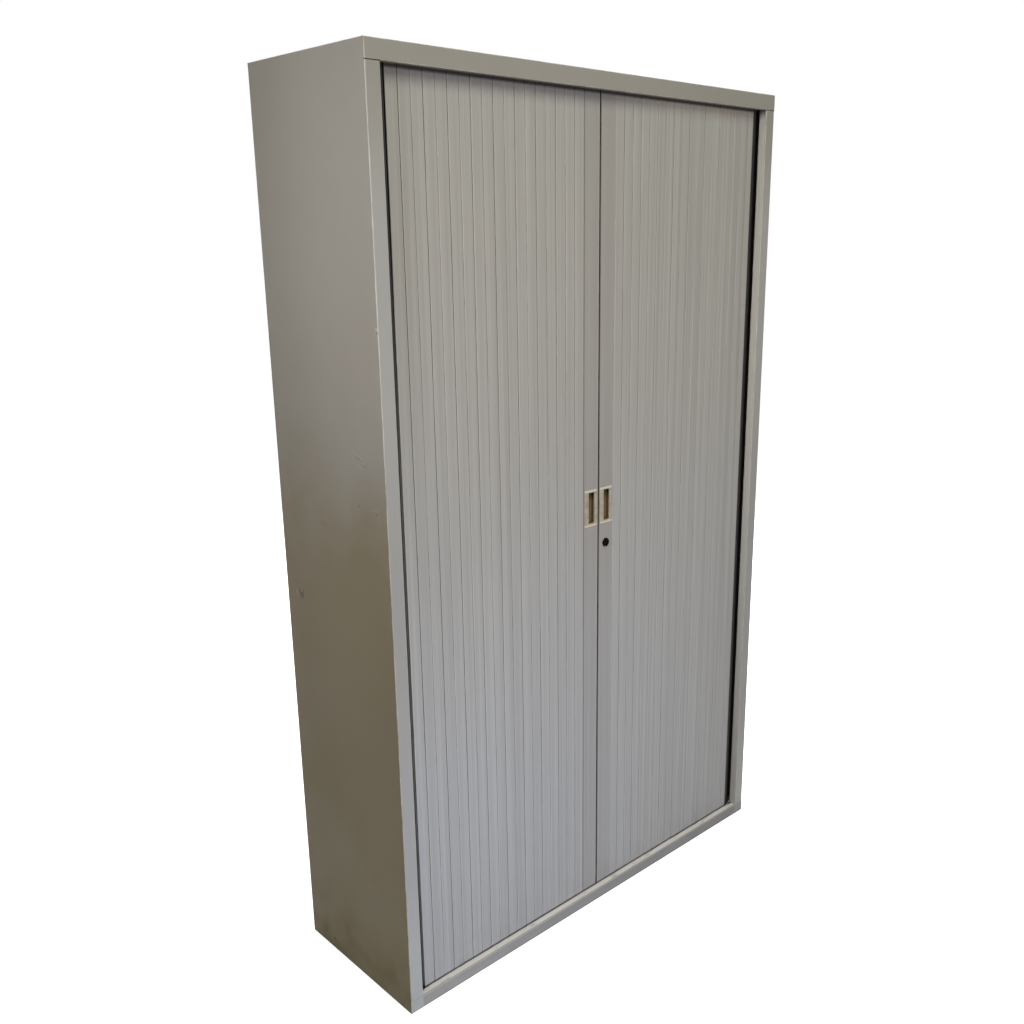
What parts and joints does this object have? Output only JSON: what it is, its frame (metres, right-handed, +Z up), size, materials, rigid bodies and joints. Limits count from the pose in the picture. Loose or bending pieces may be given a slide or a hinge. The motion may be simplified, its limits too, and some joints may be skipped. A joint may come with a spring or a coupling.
{
  "type": "roll front storage cabinet",
  "caption": "Tall steel storage cabinet closed by two side-opening roll fronts of upright slats that slide round the corners into side pockets; shelves inside, flush pulls and a cam lock.",
  "frame": {"origin": "on the floor, under the middle of the carcass", "axes": "+X to the cabinet's right seen from the front, +Y from front to back, +Z up"},
  "size_m": [1.2, 0.405, 1.98],
  "materials": {
    "carcass_paint": "fine-textured warm grey powder coat, worn",
    "inner_paint": "warm grey powder coat",
    "slat_plastic": "matt grey extruded plastic",
    "lead_rail_coat": "satin grey coated extrusion",
    "track_plastic": "cream extruded plastic, soiled",
    "handle_plastic": "beige moulded plastic",
    "lock_black": "black coated die-cast zinc",
    "zinc_plate": "bright zinc-plated steel",
    "nylon": "natural nylon",
    "stop_rubber": "black rubber",
    "foot_plastic": "black moulded plastic on a threaded stem"
  },
  "bodies": {
    "carcass": {"left_side_panel": "carcass_paint", "right_side_panel": "carcass_paint", "top_panel": "carcass_paint", "ceiling_panel": "inner_paint", "base_tray": "carcass_paint", "floor_panel": "inner_paint", "back_panel": "carcass_paint", "left_liner": "inner_paint", "right_liner": "inner_paint", "rear_liner": "inner_paint", "bottom_track_front": "track_plastic", "bottom_track_left": "track_plastic", "bottom_track_right": "track_plastic", "top_track_front": "track_plastic", "top_track_left": "track_plastic", "top_track_right": "track_plastic", "track_end_stops": "stop_rubber", "shelf_1": "inner_paint", "shelf_2": "inner_paint", "shelf_3": "inner_paint", "shelf_4": "inner_paint", "shelf_clips": "zinc_plate", "foot_nuts": "zinc_plate", "left_starter_slat": "slat_plastic", "left_slat_pair_1": "slat_plastic", "left_slat_pair_2": "slat_plastic", "left_slat_pair_3": "slat_plastic", "left_slat_pair_4": "slat_plastic", "left_slat_pair_5": "slat_plastic", "left_slat_pair_6": "slat_plastic", "left_slat_pair_7": "slat_plastic", "left_slat_pair_8": "slat_plastic", "left_corner_slat": "slat_plastic", "right_starter_slat": "slat_plastic", "right_slat_pair_1": "slat_plastic", "right_slat_pair_2": "slat_plastic", "right_slat_pair_3": "slat_plastic", "right_slat_pair_4": "slat_plastic", "right_slat_pair_5": "slat_plastic", "right_slat_pair_6": "slat_plastic", "right_slat_pair_7": "slat_plastic", "right_slat_pair_8": "slat_plastic", "right_corner_slat": "slat_plastic", "left_tail_slats": "slat_plastic", "right_tail_slats": "slat_plastic"},
    "left_door": {"left_lead_rail": "lead_rail_coat", "left_lead_shoes": "nylon", "left_handle_cup": "handle_plastic", "lock_keeper": "zinc_plate"},
    "right_door": {"right_lead_rail": "lead_rail_coat", "right_lead_shoes": "nylon", "right_handle_cup": "handle_plastic", "lock_barrel": "lock_black", "lock_nut": "zinc_plate"},
    "lock": {"lock_plug": "lock_black", "lock_hook": "zinc_plate"},
    "front_left_foot": {"front_left_foot": "foot_plastic"},
    "front_right_foot": {"front_right_foot": "foot_plastic"},
    "rear_left_foot": {"rear_left_foot": "foot_plastic"},
    "rear_right_foot": {"rear_right_foot": "foot_plastic"}
  },
  "joints": [
    {"name": "left_door_slide", "type": "slide", "parent": "carcass", "child": "left_door", "axis": [-1, 0, 0], "range_m": [0, 0.49], "deforming": ["left_starter_slat", "left_slat_pair_1", "left_slat_pair_2", "left_slat_pair_3", "left_slat_pair_4", "left_slat_pair_5", "left_slat_pair_6", "left_slat_pair_7", "left_slat_pair_8", "left_corner_slat"]},
    {"name": "right_door_slide", "type": "slide", "parent": "carcass", "child": "right_door", "axis": [1, 0, 0], "range_m": [0, 0.49], "deforming": ["right_starter_slat", "right_slat_pair_1", "right_slat_pair_2", "right_slat_pair_3", "right_slat_pair_4", "right_slat_pair_5", "right_slat_pair_6", "right_slat_pair_7", "right_slat_pair_8", "right_corner_slat"]},
    {"name": "lock_turn", "type": "hinge", "parent": "right_door", "child": "lock", "pos_m": [0.025, -0.172, 0.948], "axis": [0, 1, 0], "range_deg": [0, 90]},
    {"name": "front_left_foot_screw", "type": "slide", "parent": "carcass", "child": "front_left_foot", "axis": [0, 0, -1], "range_m": [0, 0.012]},
    {"name": "front_right_foot_screw", "type": "slide", "parent": "carcass", "child": "front_right_foot", "axis": [0, 0, -1], "range_m": [0, 0.012]},
    {"name": "rear_left_foot_screw", "type": "slide", "parent": "carcass", "child": "rear_left_foot", "axis": [0, 0, -1], "range_m": [0, 0.012]},
    {"name": "rear_right_foot_screw", "type": "slide", "parent": "carcass", "child": "rear_right_foot", "axis": [0, 0, -1], "range_m": [0, 0.012]}
  ]
}
